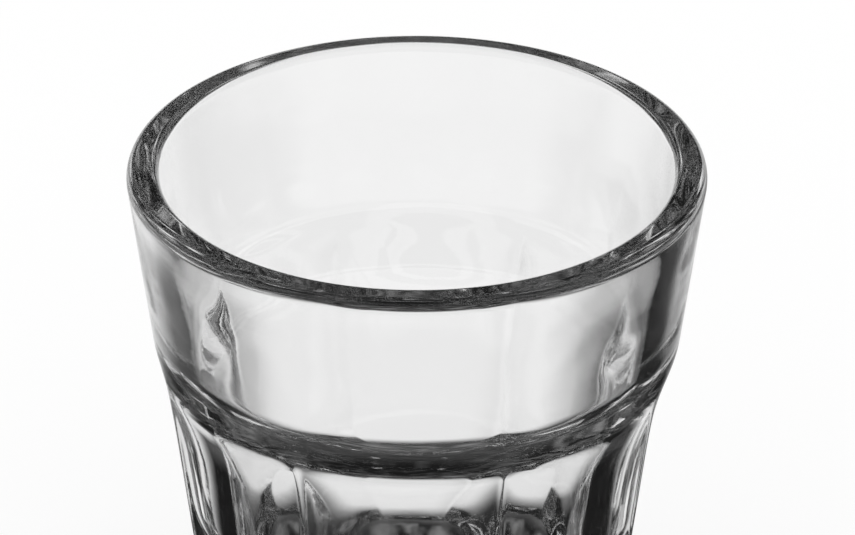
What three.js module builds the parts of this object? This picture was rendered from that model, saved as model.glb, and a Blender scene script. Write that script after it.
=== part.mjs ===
// A vodka glass in clear pressed glass: one tapered cup with a plain round band under its lip
// and flats pressed into the wall below the band.
// Millimetres, +Z up, origin at the centre of the base, one flat facing -Y.

import * as THREE from 'three';

// Driving dimensions of the outside
const height = 52;
const rimDiameter = 49;
const rimThickness = 2.75;
const lipOuterShare = 0.38; // of the rim's thickness, rounded over on the outside
const lipInnerShare = 0.28; // and on the inside, with a narrow flat top between them
const outerTaper = 7.3; // degrees from upright, the same for the band and the ridges
const bandHeight = 16.6; // from the top of the lip down to the start of the shoulder
const shoulderHeight = 4.8; // from the end of the band down to the top of the flats
const shoulderTopBend = 1; // the slope of the shoulder starts over this height above and below
const shoulderFootBend = 2.5; // and fades into the flats over this height above and below
const flatCount = 8;
const ridgeRadius = 1.4; // rounding of the ridge between two flats
const heelRadius = 2.2; // rounding where the wall meets the base

// Driving dimensions of the inside
const bandWall = 2.9; // wall of the round band where the inside starts to draw in
const flatWall = 3.4; // wall behind the middle of a flat
const drawInDepth = 14.5; // from the top of the lip down to where the inside starts to draw in
const drawInHeight = 5.8; // over this height the inside narrows to the lower, thicker wall
const drawInSoftness = 0.5; // 0 is a straight slope, higher numbers round its two ends more
const floorThickness = 13.5; // glass under the inside floor
const floorCornerRadius = 7;

// Driving dimensions of the underside
const hollowRadius = 12; // shallow hollow inside the ring that the glass stands on
const hollowDepth = 1;

// How finely the round forms are cut
const stepsPerFlat = 6;
const stepsPerCurve = 3;
const stepsPerShoulder = 8;

// Sizes worked out from the driving dimensions
const lipOuterRadius = lipOuterShare * rimThickness;
const lipOuterCentreRadius = rimDiameter / 2 - lipOuterRadius;
const lipOuterCentreHeight = height - lipOuterRadius;
const lipInnerRadius = lipInnerShare * rimThickness;
const lipInsideRadius = rimDiameter / 2 - rimThickness;
const lipInnerCentreHeight = height - lipInnerRadius;
const taperAngle = THREE.MathUtils.degToRad(outerTaper);
const halfFlatAngle = Math.PI / flatCount;
const flatSlope = Math.tan(taperAngle) * Math.cos(halfFlatAngle);
const bandEndHeight = height - bandHeight;
const drawInTop = height - drawInDepth;
const bandInsideRadius = coneRadius(drawInTop) - bandWall;
const bandInsideSlope = (lipInsideRadius - bandInsideRadius) / (lipInnerCentreHeight - drawInTop);

// Radius of the plain outer cone, which the ridges follow too
function coneRadius(z) {
  const radiusAtLip = lipOuterCentreRadius + lipOuterRadius / Math.cos(taperAngle);
  return radiusAtLip - (lipOuterCentreHeight - z) * Math.tan(taperAngle);
}

// Distance from the axis to the middle of a flat
function flatDistance(z) {
  return coneRadius(z) * Math.cos(halfFlatAngle);
}

// How far the flats are pressed in at a height: 0 on the round band, 1 below the shoulder
function pressedShare(z) {
  const down = bandEndHeight - z;
  const fromFoot = down - shoulderHeight;
  return (softRamp(down, shoulderTopBend) - softRamp(fromFoot, shoulderFootBend)) / shoulderHeight;
}

// 0 before the start of a ramp and the distance along it afterwards, with a rounded bend between
function softRamp(along, bend) {
  if (Math.abs(along) >= bend) {
    return Math.max(along, 0);
  }
  return (along + bend) ** 2 / (4 * bend);
}

// Radius of a polygon with rounded corners, at an angle measured from one of its corners
function polygonRadius(cornerRadius, angleFromCorner) {
  const flat = cornerRadius * Math.cos(halfFlatAngle);
  const centre = (flat - ridgeRadius) / Math.cos(halfFlatAngle);
  const reach = Math.atan2(
    ridgeRadius * Math.sin(halfFlatAngle),
    centre + ridgeRadius * Math.cos(halfFlatAngle),
  );
  if (Math.abs(angleFromCorner) >= reach) {
    return flat / Math.cos(halfFlatAngle - Math.abs(angleFromCorner));
  }
  const side = centre * Math.sin(angleFromCorner);
  return centre * Math.cos(angleFromCorner) + Math.sqrt(ridgeRadius ** 2 - side ** 2);
}

// Outline of the outside along a ridge: from the axis under the base up to the lip's flat top
function outsideOutline() {
  const heelCentreRadius = coneRadius(heelRadius) - heelRadius / Math.cos(taperAngle);
  const base = new THREE.Path();
  base.moveTo(0, hollowDepth);
  base.quadraticCurveTo(hollowRadius / 2, hollowDepth, hollowRadius, 0);
  base.lineTo(heelCentreRadius, 0);
  base.absarc(heelCentreRadius, heelRadius, heelRadius, -Math.PI / 2, -taperAngle, false);
  const shoulderTop = bandEndHeight + shoulderTopBend;
  const shoulderFoot = bandEndHeight - shoulderHeight - shoulderFootBend;
  const shoulder = [];
  for (let step = 0; step <= stepsPerShoulder; step += 1) {
    const z = THREE.MathUtils.lerp(shoulderFoot, shoulderTop, step / stepsPerShoulder);
    shoulder.push(new THREE.Vector2(coneRadius(z), z));
  }
  const bandTop = lipOuterCentreHeight - lipOuterRadius * Math.sin(taperAngle);
  const lip = new THREE.Path();
  lip.moveTo(coneRadius(bandTop), bandTop);
  lip.lineTo(rimDiameter / 2, lipOuterCentreHeight);
  lip.absarc(lipOuterCentreRadius, lipOuterCentreHeight, lipOuterRadius, 0, Math.PI / 2, false);
  return [...base.getPoints(stepsPerCurve), ...shoulder, ...lip.getPoints(stepsPerCurve)];
}

// Curve over which the inside draws in, between the wall of the band and the wall of the flats
function drawInCurve() {
  const bottom = drawInTop - drawInHeight;
  const bottomRadius = flatDistance(bottom) - flatWall;
  const handle = drawInSoftness * drawInHeight;
  return new THREE.CubicBezierCurve(
    new THREE.Vector2(bandInsideRadius, drawInTop),
    new THREE.Vector2(bandInsideRadius - bandInsideSlope * handle, drawInTop - handle),
    new THREE.Vector2(bottomRadius + flatSlope * handle, bottom + handle),
    new THREE.Vector2(bottomRadius, bottom),
  );
}

// Outline of the inside: from the inner edge of the lip's flat top down to the axis on the floor
function insideOutline() {
  const lipEnd = Math.PI - Math.atan(bandInsideSlope);
  const lowerTaper = Math.atan(flatSlope);
  const cornerCentreHeight = floorThickness + floorCornerRadius;
  const cornerTopHeight = cornerCentreHeight - floorCornerRadius * Math.sin(lowerTaper);
  const cornerTopRadius = flatDistance(cornerTopHeight) - flatWall;
  const cornerCentreRadius = cornerTopRadius - floorCornerRadius * Math.cos(lowerTaper);
  const lip = new THREE.Path();
  lip.absarc(
    lipInsideRadius + lipInnerRadius,
    lipInnerCentreHeight,
    lipInnerRadius,
    Math.PI / 2,
    lipEnd,
    false,
  );
  const floor = new THREE.Path();
  floor.absarc(
    cornerCentreRadius,
    cornerCentreHeight,
    floorCornerRadius,
    -lowerTaper,
    -Math.PI / 2,
    true,
  );
  floor.lineTo(0, floorThickness);
  return [
    ...lip.getPoints(stepsPerCurve),
    ...drawInCurve().getPoints(stepsPerShoulder),
    ...floor.getPoints(stepsPerCurve),
  ];
}

// Angles round the glass, measured from -Y, with close steps over each rounded ridge
function anglesAround() {
  const ridgeReach = (ridgeRadius * Math.sin(halfFlatAngle)) / flatDistance(heelRadius);
  const angles = [];
  for (let flat = 0; flat < flatCount; flat += 1) {
    const ridge = (2 * flat + 1) * halfFlatAngle;
    angles.push(ridge - ridgeReach / 2, ridge, ridge + ridgeReach / 2);
    for (let step = 0; step <= stepsPerFlat; step += 1) {
      const along = (2 * step) / stepsPerFlat;
      angles.push(ridge + ridgeReach + along * (halfFlatAngle - ridgeReach));
    }
  }
  angles.push(angles[0] + 2 * Math.PI);
  return angles;
}

// The glass body: a lathe form, with the flats pressed into its outside
function glassGeometry() {
  const outside = outsideOutline();
  const outline = [...outside, ...insideOutline()];
  const angles = anglesAround();
  const geometry = new THREE.LatheGeometry(outline, angles.length - 1);
  const position = geometry.getAttribute('position');
  angles.forEach((angle, turn) => {
    const fromRidge = (angle % (2 * halfFlatAngle)) - halfFlatAngle;
    outline.forEach(({ x: plain, y: z }, level) => {
      const isFaceted = level < outside.length && plain > hollowRadius;
      const pressed = isFaceted ? pressedShare(z) : 0;
      const radius = plain + pressed * (polygonRadius(plain, fromRidge) - plain);
      const index = turn * outline.length + level;
      position.setXYZ(index, radius * Math.sin(angle), -radius * Math.cos(angle), z);
    });
  });
  geometry.computeVertexNormals();
  return geometry;
}

const clearGlass = new THREE.MeshStandardMaterial({
  color: 0xe9eeee,
  roughness: 0.03,
  metalness: 0,
  transparent: true,
  opacity: 0.35,
});

const glassBody = new THREE.Mesh(glassGeometry(), clearGlass);
glassBody.name = 'glass_body';

const vodkaGlass = new THREE.Group();
vodkaGlass.name = 'vodka_glass';
vodkaGlass.add(glassBody);

export default vodkaGlass;
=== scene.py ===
"""A vodka glass in clear pressed glass, on a white studio floor.

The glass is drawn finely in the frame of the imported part: metres, +Z up, origin at the centre
of the base, one flat facing -Y. Lengths below are in millimetres unless they say otherwise."""

import math

import bpy
import numpy as np
from mathutils import Matrix


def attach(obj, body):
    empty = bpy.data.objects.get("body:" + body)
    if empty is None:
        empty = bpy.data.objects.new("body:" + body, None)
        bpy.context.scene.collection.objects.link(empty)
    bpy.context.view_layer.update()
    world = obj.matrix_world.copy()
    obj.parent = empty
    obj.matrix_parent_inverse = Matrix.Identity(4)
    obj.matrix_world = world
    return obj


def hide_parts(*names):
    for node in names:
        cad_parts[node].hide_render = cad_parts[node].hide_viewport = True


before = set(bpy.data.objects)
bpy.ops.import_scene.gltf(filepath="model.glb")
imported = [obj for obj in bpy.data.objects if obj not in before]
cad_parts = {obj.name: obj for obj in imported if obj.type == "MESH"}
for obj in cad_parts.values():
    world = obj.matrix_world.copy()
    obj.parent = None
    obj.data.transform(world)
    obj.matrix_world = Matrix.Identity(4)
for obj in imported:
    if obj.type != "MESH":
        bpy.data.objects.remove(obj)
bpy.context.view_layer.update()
scene = bpy.context.scene
MM = 0.001

# Sizes of the outside, the same as in the part's source
HEIGHT = 52.0
RIM_DIAMETER = 49.0
RIM_THICKNESS = 2.75
LIP_OUTER_SHARE = 0.38  # of the rim's thickness, rounded over on the outside
LIP_INNER_SHARE = 0.28  # and on the inside, with a narrow flat top between them
OUTER_TAPER = math.radians(7.3)  # from upright, the same for the band and the ridges
BAND_HEIGHT = 16.6  # from the top of the lip down to the start of the shoulder
SHOULDER_HEIGHT = 4.8  # from the end of the band down to the top of the flats
SHOULDER_TOP_BEND = 1.0  # the slope of the shoulder starts over this height above and below
SHOULDER_FOOT_BEND = 2.5  # and fades into the flats over this height above and below
FLAT_COUNT = 8
RIDGE_RADIUS = 1.4  # rounding of the ridge between two flats
HEEL_RADIUS = 2.2  # rounding where the wall meets the base

# Sizes of the inside and the underside, the same as in the part's source
BAND_WALL = 2.9  # wall of the round band where the inside starts to draw in
FLAT_WALL = 3.4  # wall behind the middle of a flat
DRAW_IN_DEPTH = 14.5  # from the top of the lip down to where the inside starts to draw in
DRAW_IN_HEIGHT = 5.8  # over this height the inside narrows to the lower, thicker wall
DRAW_IN_SOFTNESS = 0.5  # 0 is a straight slope, higher numbers round its two ends more
FLOOR_THICKNESS = 13.5
FLOOR_CORNER_RADIUS = 7.0
HOLLOW_RADIUS = 12.0
HOLLOW_DEPTH = 1.0

# Sizes worked out from those above, with centres as (radius, z)
LIP_OUTER_RADIUS = LIP_OUTER_SHARE * RIM_THICKNESS
LIP_INNER_RADIUS = LIP_INNER_SHARE * RIM_THICKNESS
LIP_OUTER_CENTRE = (RIM_DIAMETER / 2 - LIP_OUTER_RADIUS, HEIGHT - LIP_OUTER_RADIUS)
LIP_INSIDE = RIM_DIAMETER / 2 - RIM_THICKNESS
LIP_INNER_CENTRE = (LIP_INSIDE + LIP_INNER_RADIUS, HEIGHT - LIP_INNER_RADIUS)
BAND_END = HEIGHT - BAND_HEIGHT
SHOULDER_TOP = BAND_END + SHOULDER_TOP_BEND
SHOULDER_FOOT = BAND_END - SHOULDER_HEIGHT - SHOULDER_FOOT_BEND
HALF_FLAT = math.pi / FLAT_COUNT
FLAT_SLOPE = math.tan(OUTER_TAPER) * math.cos(HALF_FLAT)
DRAW_IN_TOP = HEIGHT - DRAW_IN_DEPTH
DRAW_IN_BOTTOM = DRAW_IN_TOP - DRAW_IN_HEIGHT

# How finely the glass is drawn, along its outline and round it
HOLLOW_POINTS = 10
HEEL_STEPS = 12
OUTER_FLAT_POINTS = 28
SHOULDER_POINTS = 80
OUTER_BAND_POINTS = 24
LIP_STEPS = 24
INNER_BAND_POINTS = 20
DRAW_IN_POINTS = 101
BOWL_POINTS = 30
CORNER_STEPS = 18
FLOOR_STEPS = 8
STEPS_PER_FLAT = 48
RIDGE_CROWDING = 0.13  # how far the steps round the glass crowd towards the ridges

# The glass and its skin
GLASS_IOR = 1.52
WAVE_LENGTH = 7.0
WAVE_DEPTH = 0.1
STREAK_WIDTH = 0.8
STREAK_CIRCLE = 5.0  # radius of the circle of noise laid round the glass: a wider one shortens streaks
STREAK_DEPTH = 0.002
POLISH_SPREAD = (0.3, 0.7)  # of the noise, from the best polish to the roughest
ROUGHEST = 0.08


def cone_radius(z):
    """Radius of the plain outer cone, which the ridges follow too."""
    radius_at_lip = LIP_OUTER_CENTRE[0] + LIP_OUTER_RADIUS / math.cos(OUTER_TAPER)
    return radius_at_lip - (LIP_OUTER_CENTRE[1] - z) * math.tan(OUTER_TAPER)


def flat_distance(z):
    """Distance from the axis to the middle of a flat."""
    return cone_radius(z) * math.cos(HALF_FLAT)


def soft_ramp(along, bend):
    """0 before the start of a ramp and the distance along it after, with a rounded bend between."""
    return np.where(np.abs(along) < bend, (along + bend) ** 2 / (4 * bend), np.maximum(along, 0))


def pressed_share(z):
    """How far the flats are pressed in: 0 on the round band, 1 below the shoulder."""
    down = BAND_END - z
    from_foot = down - SHOULDER_HEIGHT
    pressed = soft_ramp(down, SHOULDER_TOP_BEND) - soft_ramp(from_foot, SHOULDER_FOOT_BEND)
    return pressed / SHOULDER_HEIGHT


def polygon_radius(corner_radius, from_ridge):
    """Radius of a polygon with rounded corners, at angles measured from a corner."""
    flat = corner_radius * math.cos(HALF_FLAT)
    centre = (flat - RIDGE_RADIUS) / math.cos(HALF_FLAT)
    reach = math.atan2(
        RIDGE_RADIUS * math.sin(HALF_FLAT), centre + RIDGE_RADIUS * math.cos(HALF_FLAT)
    )
    side = centre * np.sin(from_ridge)
    rounded = centre * np.cos(from_ridge) + np.sqrt(np.maximum(RIDGE_RADIUS**2 - side**2, 0))
    straight = flat / np.cos(HALF_FLAT - np.abs(from_ridge))
    return np.where(np.abs(from_ridge) < reach, rounded, straight)


def arc(centre, radius, start, end, steps):
    """Points (radius, z) of an arc, ends included."""
    angles = np.linspace(start, end, steps + 1)
    return np.stack([centre[0] + radius * np.cos(angles), centre[1] + radius * np.sin(angles)], 1)


def along_cone(low, high, count):
    """Points (radius, z) up the outer cone, ends left out."""
    heights = np.linspace(low, high, count + 2)[1:-1]
    return np.stack([cone_radius(heights), heights], 1)


def between(start, end, count):
    """Points (radius, z) on a straight stretch, ends left out."""
    share = np.linspace(0, 1, count + 2)[1:-1, None]
    return start + (end - start) * share


def outside_outline():
    """Outline along a ridge, from the axis under the base up to the lip's flat top."""
    heel_centre = (cone_radius(HEEL_RADIUS) - HEEL_RADIUS / math.cos(OUTER_TAPER), HEEL_RADIUS)
    out = np.linspace(0, 1, HOLLOW_POINTS)
    hollow = np.stack([HOLLOW_RADIUS * out, HOLLOW_DEPTH * (1 - out**2)], 1)
    heel = arc(heel_centre, HEEL_RADIUS, -math.pi / 2, -OUTER_TAPER, HEEL_STEPS)
    flats = along_cone(heel[-1, 1], SHOULDER_FOOT, OUTER_FLAT_POINTS)
    shoulder = along_cone(SHOULDER_FOOT, SHOULDER_TOP, SHOULDER_POINTS)
    lip = arc(LIP_OUTER_CENTRE, LIP_OUTER_RADIUS, -OUTER_TAPER, math.pi / 2, LIP_STEPS)
    band = along_cone(SHOULDER_TOP, lip[0, 1], OUTER_BAND_POINTS)
    return np.concatenate([hollow, heel, flats, shoulder, band, lip])


def draw_in_curve(band_radius, band_slope):
    """Curve over which the inside draws in, between the wall of the band and the wall of the flats."""
    bottom_radius = flat_distance(DRAW_IN_BOTTOM) - FLAT_WALL
    handle = DRAW_IN_SOFTNESS * DRAW_IN_HEIGHT
    top = np.array([band_radius, DRAW_IN_TOP])
    top_handle = np.array([band_radius - band_slope * handle, DRAW_IN_TOP - handle])
    bottom_handle = np.array([bottom_radius + FLAT_SLOPE * handle, DRAW_IN_BOTTOM + handle])
    bottom = np.array([bottom_radius, DRAW_IN_BOTTOM])
    u = np.linspace(0, 1, DRAW_IN_POINTS)[:, None]
    upper = top * (1 - u) ** 3 + top_handle * 3 * u * (1 - u) ** 2
    lower = bottom_handle * 3 * u**2 * (1 - u) + bottom * u**3
    return upper + lower


def inside_outline():
    """Outline from the inner edge of the lip's flat top down to the axis on the floor."""
    band_radius = cone_radius(DRAW_IN_TOP) - BAND_WALL
    band_slope = (LIP_INSIDE - band_radius) / (LIP_INNER_CENTRE[1] - DRAW_IN_TOP)
    lip_end = math.pi - math.atan(band_slope)
    lip = arc(LIP_INNER_CENTRE, LIP_INNER_RADIUS, math.pi / 2, lip_end, LIP_STEPS)
    draw_in = draw_in_curve(band_radius, band_slope)
    band = between(lip[-1], draw_in[0], INNER_BAND_POINTS)
    lower_taper = math.atan(FLAT_SLOPE)
    corner_height = FLOOR_THICKNESS + FLOOR_CORNER_RADIUS
    corner_top = corner_height - FLOOR_CORNER_RADIUS * math.sin(lower_taper)
    corner_top_radius = flat_distance(corner_top) - FLAT_WALL
    corner_centre = (corner_top_radius - FLOOR_CORNER_RADIUS * math.cos(lower_taper), corner_height)
    corner = arc(corner_centre, FLOOR_CORNER_RADIUS, -lower_taper, -math.pi / 2, CORNER_STEPS)
    bowl = between(draw_in[-1], corner[0], BOWL_POINTS)
    inward = np.linspace(1, 0, FLOOR_STEPS + 1)[1:]
    floor = np.stack([corner_centre[0] * inward, np.full(FLOOR_STEPS, FLOOR_THICKNESS)], 1)
    return np.concatenate([lip, band, draw_in, bowl, corner, floor])


def glass_mesh():
    """One closed mesh: rings of points along the outline, closed on the axis at both ends."""
    outside = outside_outline()
    outline = np.concatenate([outside, inside_outline()])
    share = np.linspace(0, 1, STEPS_PER_FLAT, endpoint=False)
    crowded = share - RIDGE_CROWDING * np.sin(2 * math.pi * share)
    angles = np.concatenate([(k + 0.5 + crowded) * 2 * HALF_FLAT for k in range(FLAT_COUNT)])
    from_ridge = angles % (2 * HALF_FLAT) - HALF_FLAT
    turns = len(angles)
    rings = []
    for level, (plain, z) in enumerate(outline[1:-1], start=1):
        is_faceted = level < len(outside) and plain > HOLLOW_RADIUS
        pressed = pressed_share(z) if is_faceted else 0
        radius = plain + pressed * (polygon_radius(plain, from_ridge) - plain)
        ring = [radius * np.sin(angles), -radius * np.cos(angles), np.full(turns, z)]
        rings.append(np.stack(ring, 1))
    ends = np.array([[0, 0, outline[0, 1]], [0, 0, outline[-1, 1]]])
    points = np.concatenate([*rings, ends]) * MM
    under = len(points) - 2
    floor = len(points) - 1
    last = (len(rings) - 1) * turns
    faces = []
    for here in range(turns):
        after = (here + 1) % turns
        for low in range(0, last, turns):
            high = low + turns
            faces.append((low + here, low + after, high + after, high + here))
        faces.append((under, after, here))
        faces.append((floor, last + here, last + after))
    mesh = bpy.data.meshes.new("clear_glass_body")
    mesh.from_pydata(points.tolist(), [], faces)
    mesh.shade_smooth()
    return mesh


def worked_out(tree, kind, operation, values):
    """Outputs of a node that does one operation on node outputs, numbers or tuples of numbers."""
    node = tree.nodes.new(kind)
    node.operation = operation
    for socket, value in zip(node.inputs, values):
        if isinstance(value, (int, float, tuple)):
            socket.default_value = value
        else:
            tree.links.new(value, socket)
    return node.outputs


def maths(tree, operation, *values):
    """One operation on numbers."""
    return worked_out(tree, "ShaderNodeMath", operation, values)["Value"]


def joined(tree, operation, first, *others):
    """Several numbers joined by the same operation, one after the other."""
    for other in others:
        first = maths(tree, operation, first, other)
    return first


def vector_maths(tree, operation, *values):
    """One operation on vectors that gives a vector."""
    return worked_out(tree, "ShaderNodeVectorMath", operation, values)["Vector"]


def length_of(tree, vector):
    """The length of a vector."""
    return worked_out(tree, "ShaderNodeVectorMath", "LENGTH", [vector])["Value"]


def parts_of(tree, vector):
    """The x, y and z of a vector."""
    node = tree.nodes.new("ShaderNodeSeparateXYZ")
    tree.links.new(vector, node.inputs["Vector"])
    return list(node.outputs)


def eased(tree, value, span, levels=(0.0, 1.0)):
    """A smooth change from the first level to the second while a value crosses a span."""
    node = tree.nodes.new("ShaderNodeMapRange")
    node.interpolation_type = "SMOOTHSTEP"
    tree.links.new(value, node.inputs["Value"])
    node.inputs["From Min"].default_value = span[0]
    node.inputs["From Max"].default_value = span[1]
    node.inputs["To Min"].default_value = levels[0]
    node.inputs["To Max"].default_value = levels[1]
    return node.outputs["Result"]


def spot_on(tree):
    """Where a point lies on its object, in metres."""
    return tree.nodes.new("ShaderNodeTexCoord").outputs["Object"]


def noise(tree, spot, scale, detail=1.0):
    """Smooth noise, with about this many waves to one unit of length."""
    waves = tree.nodes.new("ShaderNodeTexNoise")
    waves.inputs["Scale"].default_value = scale
    waves.inputs["Detail"].default_value = detail
    tree.links.new(spot, waves.inputs["Vector"])
    return waves.outputs[0]


def round_streaks(tree, spot):
    """Noise drawn out round the glass, as fire polishing on a turning plate leaves it."""
    level = vector_maths(tree, "MULTIPLY", spot, (1, 1, 0))
    heading = vector_maths(tree, "NORMALIZE", level)
    height = parts_of(tree, spot)[2]
    across = maths(tree, "ADD", length_of(tree, level), height)
    lift = tree.nodes.new("ShaderNodeCombineXYZ")
    tree.links.new(maths(tree, "MULTIPLY", across, 1 / (STREAK_WIDTH * MM)), lift.inputs["Z"])
    circle = (STREAK_CIRCLE, STREAK_CIRCLE, 0)
    drawn_out = vector_maths(tree, "MULTIPLY_ADD", heading, circle, lift.outputs["Vector"])
    return noise(tree, drawn_out, 1.0)


def bumped(tree, height, depth, under=None):
    """A surface bumped by a height, on top of another bump if there is one."""
    bump = tree.nodes.new("ShaderNodeBump")
    bump.inputs["Strength"].default_value = 1.0
    bump.inputs["Distance"].default_value = depth * MM
    tree.links.new(height, bump.inputs["Height"])
    if under:
        tree.links.new(under, bump.inputs["Normal"])
    return bump.outputs["Normal"]


def clear_glass():
    """Clear pressed glass: slow waves, faint streaks round it, and a polish that is not quite even."""
    material = bpy.data.materials.new("clear_glass")
    material.use_nodes = True
    tree = material.node_tree
    shader = tree.nodes["Principled BSDF"]
    shader.inputs["Base Color"].default_value = (1, 1, 1, 1)
    shader.inputs["IOR"].default_value = GLASS_IOR
    shader.inputs["Transmission Weight"].default_value = 1.0
    spot = spot_on(tree)
    waves = noise(tree, spot, 1 / (WAVE_LENGTH * MM))
    wavy = bumped(tree, waves, WAVE_DEPTH)
    skin = bumped(tree, round_streaks(tree, spot), STREAK_DEPTH, wavy)
    tree.links.new(skin, shader.inputs["Normal"])
    polish = eased(tree, waves, POLISH_SPREAD, (0.0, ROUGHEST))
    tree.links.new(polish, shader.inputs["Roughness"])
    return material


def place(name, data):
    """A new object in the scene."""
    made = bpy.data.objects.new(name, data)
    scene.collection.objects.link(made)
    return made


glass = place("glass_clear", glass_mesh())
glass.data.materials.append(clear_glass())
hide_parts("glass_body")
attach(glass, "root")

# The camera: how it stands round a point just below the top of the lip and then turns, in degrees
CAMERA_AZIMUTH = 3.6
CAMERA_ELEVATION = 27.916
CAMERA_DISTANCE = 430.0
CAMERA_AIM_DEPTH = 1.24
CAMERA_PITCH = -1.0553
CAMERA_YAW = -0.1203
CAMERA_ROLL = 0.0862
CAMERA_LENS = 214.42
CAMERA_SENSOR = 36
CAMERA_NEAR = 10.0  # nothing closer than this is drawn


def turned(degrees, axis):
    """A turn about one axis."""
    return Matrix.Rotation(math.radians(degrees), 4, axis)


camera = place("camera", bpy.data.cameras.new("camera"))
camera.data.sensor_width = CAMERA_SENSOR
camera.data.lens = CAMERA_LENS
camera.data.clip_start = CAMERA_NEAR * MM
camera.matrix_world = (
    Matrix.Translation((0, 0, (HEIGHT - CAMERA_AIM_DEPTH) * MM))
    @ turned(CAMERA_AZIMUTH, "Z")
    @ turned(90 - CAMERA_ELEVATION, "X")
    @ Matrix.Translation((0, 0, CAMERA_DISTANCE * MM))
    @ turned(CAMERA_PITCH, "X")
    @ turned(CAMERA_YAW, "Y")
    @ turned(CAMERA_ROLL, "Z")
)
scene.camera = camera

# The stage: a pale floor under a white sky, and a room of cards that only the glass sees, which paint
# light and shade into its reflections and into the view through it
FLOOR_RADIUS = 6000
FLOOR_DROP = 0.1  # below the base
FLOOR_SHADE = 0.25  # the share of the floor's brightness that shadows can take away
CARD_RADIUS = 200
CARD_DROP = 0.06  # below the base
ROOM_RADIUS = 2000
ROOF_HEIGHT = 1500
WALL_FOOT = 230  # the sky shows below this height, apart from the bearings of the low wall
LOW_WALL_SPAN = (45, 225)  # bearings, in degrees from +Y towards +X
ROUND_STEPS = 64
LIGHT_BOUNCES = 32

# Brightness of the floor card: 1 is white, and a pair says where a change starts and where it ends
# The floor card paints the floor's light and shade as the glass sees it: painted shade under and near
# the glass, painted light in the bright spreads further off
CARD_DARK = 0.01
CARD_BRIGHT = 0.89
BACK_LEFT_SPREAD = (-70, -24)  # a spread is in bearings
BACK_RIGHT_SPREAD = (54, 9)
BACK_RISE = (14, 30)  # a rise is in distances from the axis
LEFT_OUTER_SPREAD = (-100, -70)
LEFT_INNER_SPREAD = (20, -20)
LEFT_RISE = (70, 95)
FRONT_SPREAD = (95, 130)  # to both sides
FRONT_RISE = (40, 65)
FRONT_LEVEL = 0.8
SIDE_SLOPE = (-40, 40)  # along X
SIDE_LEVELS = (0.1, 0.02)  # at the two ends of that slope
SIDE_RISE = (46, 70)
# Painted shade under the glass: dim, mottled, and lighter towards the back
UNDER_SHADE_SLOPE = (-12, 14)  # along Y
UNDER_SHADE_LEVELS = (0.05, 0.32)  # at the two ends of that slope
UNDER_SHADE_EDGE = (18, 14)  # distances from the axis
SHADE_MOTTLE_SIZE = 4.0
SHADE_MOTTLE_DETAIL = 2.0
SHADE_MOTTLE_SPREAD = (0.35, 0.75)  # of the noise
FAR_RISE = (130, 200)


def lit(name, strength, pale=0.0):
    """A plain stage material that glows by itself, with a pale matt share that takes shadows."""
    material = bpy.data.materials.new(name)
    material.use_nodes = True
    shader = material.node_tree.nodes["Principled BSDF"]
    shader.inputs["Base Color"].default_value = (pale, pale, pale, 1)
    shader.inputs["Roughness"].default_value = 1.0
    shader.inputs["Specular IOR Level"].default_value = 0.0
    shader.inputs["Emission Color"].default_value = (1, 1, 1, 1)
    shader.inputs["Emission Strength"].default_value = strength
    return material


def painted_floor_light_and_shade():
    """A sheet that glows with the floor's painted light and shade as the glass sees it: painted shade
    under the glass and beside it, painted light behind and before it, white far off.
    """
    material = lit("painted_floor_light_and_shade", 1.0)
    tree = material.node_tree
    position = tree.nodes.new("ShaderNodeNewGeometry").outputs["Position"]
    x, y, _ = parts_of(tree, position)
    away = maths(tree, "MULTIPLY", length_of(tree, position), 1 / MM)
    aside = maths(tree, "MULTIPLY", x, 1 / MM)
    behind = maths(tree, "MULTIPLY", y, 1 / MM)
    bearing = maths(tree, "MULTIPLY", maths(tree, "ARCTAN2", x, y), 180 / math.pi)
    from_back = maths(tree, "ABSOLUTE", bearing)
    # Painted light in spreads behind, to the left of and before the glass, each rising out of painted
    # shade near it
    back = joined(
        tree,
        "MULTIPLY",
        eased(tree, bearing, BACK_LEFT_SPREAD),
        eased(tree, bearing, BACK_RIGHT_SPREAD),
        eased(tree, away, BACK_RISE, (0.0, CARD_BRIGHT)),
    )
    left = joined(
        tree,
        "MULTIPLY",
        eased(tree, bearing, LEFT_OUTER_SPREAD),
        eased(tree, bearing, LEFT_INNER_SPREAD),
        eased(tree, away, LEFT_RISE, (0.0, CARD_BRIGHT)),
    )
    front = joined(
        tree,
        "MULTIPLY",
        eased(tree, from_back, FRONT_SPREAD),
        eased(tree, away, FRONT_RISE),
        FRONT_LEVEL,
    )
    side = joined(
        tree,
        "MULTIPLY",
        eased(tree, aside, SIDE_SLOPE, SIDE_LEVELS),
        eased(tree, away, SIDE_RISE),
    )
    # Painted shade under the glass, mottled and lighter towards the back
    shade_mottle = noise(tree, spot_on(tree), 1 / (SHADE_MOTTLE_SIZE * MM), SHADE_MOTTLE_DETAIL)
    painted_shade_under_glass = joined(
        tree,
        "MULTIPLY",
        eased(tree, shade_mottle, SHADE_MOTTLE_SPREAD),
        eased(tree, behind, UNDER_SHADE_SLOPE, UNDER_SHADE_LEVELS),
        eased(tree, away, UNDER_SHADE_EDGE),
    )
    far = eased(tree, away, FAR_RISE, (CARD_DARK, 1.0))
    brightest = joined(tree, "MAXIMUM", back, left, front, side, painted_shade_under_glass, far)
    tree.links.new(brightest, tree.nodes["Principled BSDF"].inputs["Emission Strength"])
    return material


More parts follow.
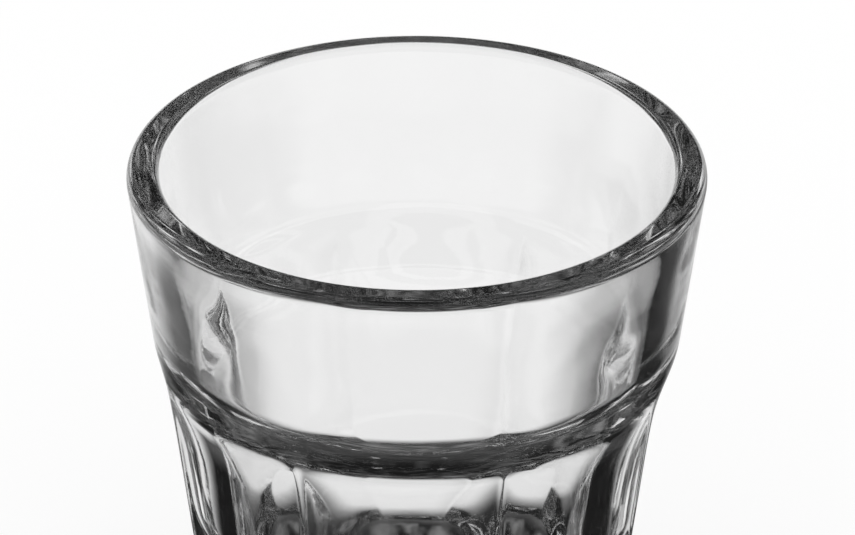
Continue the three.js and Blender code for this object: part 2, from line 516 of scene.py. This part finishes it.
def stage_piece(name, points, faces, material, is_card=True):
    """A stage surface. A card shows only in the glass, as painted light and shade there: the camera
    doesn't see it, nor its shadow.
    """
    mesh = bpy.data.meshes.new(name)
    mesh.from_pydata([tuple(v * MM for v in p) for p in points], [], faces)
    made = place(name, mesh)
    made.data.materials.append(material)
    if is_card:
        made.visible_camera = False
        made.visible_diffuse = False
        made.visible_shadow = False


def disc(radius, z):
    """Points and the one face of a level disc."""
    turns = [2 * math.pi * k / ROUND_STEPS for k in range(ROUND_STEPS)]
    points = [(radius * math.cos(t), radius * math.sin(t), z) for t in turns]
    return points, [tuple(range(ROUND_STEPS))]


def wall(low, high, start, end):
    """Points and faces of the room's round upright wall, between two heights and two bearings."""
    count = ROUND_STEPS + 1
    bearings = [math.radians(start + (end - start) * k / ROUND_STEPS) for k in range(count)]
    foot = [(ROOM_RADIUS * math.sin(b), ROOM_RADIUS * math.cos(b), low) for b in bearings]
    top = [(x, y, high) for x, y, _ in foot]
    return foot + top, [(k, k + 1, count + k + 1, count + k) for k in range(ROUND_STEPS)]


pale_floor = lit("pale_floor", 1 - FLOOR_SHADE, FLOOR_SHADE)
# Dark cards for the roof and walls paint dark reflections into the glass, while the white sky lights the
# scene
painted_dark_reflection = lit("painted_dark_reflection", CARD_DARK)
stage_piece("floor", *disc(FLOOR_RADIUS, -FLOOR_DROP), pale_floor, is_card=False)
stage_piece("floor_card", *disc(CARD_RADIUS, -CARD_DROP), painted_floor_light_and_shade())
stage_piece("dark_roof", *disc(ROOM_RADIUS, ROOF_HEIGHT), painted_dark_reflection)
stage_piece("dark_wall", *wall(WALL_FOOT, ROOF_HEIGHT, 0, 360), painted_dark_reflection)
stage_piece("low_dark_wall", *wall(0, WALL_FOOT, *LOW_WALL_SPAN), painted_dark_reflection)

world = bpy.data.worlds.new("white_sky")
world.use_nodes = True
sky = world.node_tree.nodes["Background"]
sky.inputs["Color"].default_value = (1, 1, 1, 1)
sky.inputs["Strength"].default_value = 1.0
scene.world = world

scene.cycles.max_bounces = LIGHT_BOUNCES
scene.cycles.glossy_bounces = LIGHT_BOUNCES
scene.cycles.transmission_bounces = LIGHT_BOUNCES
scene.view_settings.view_transform = "Standard"
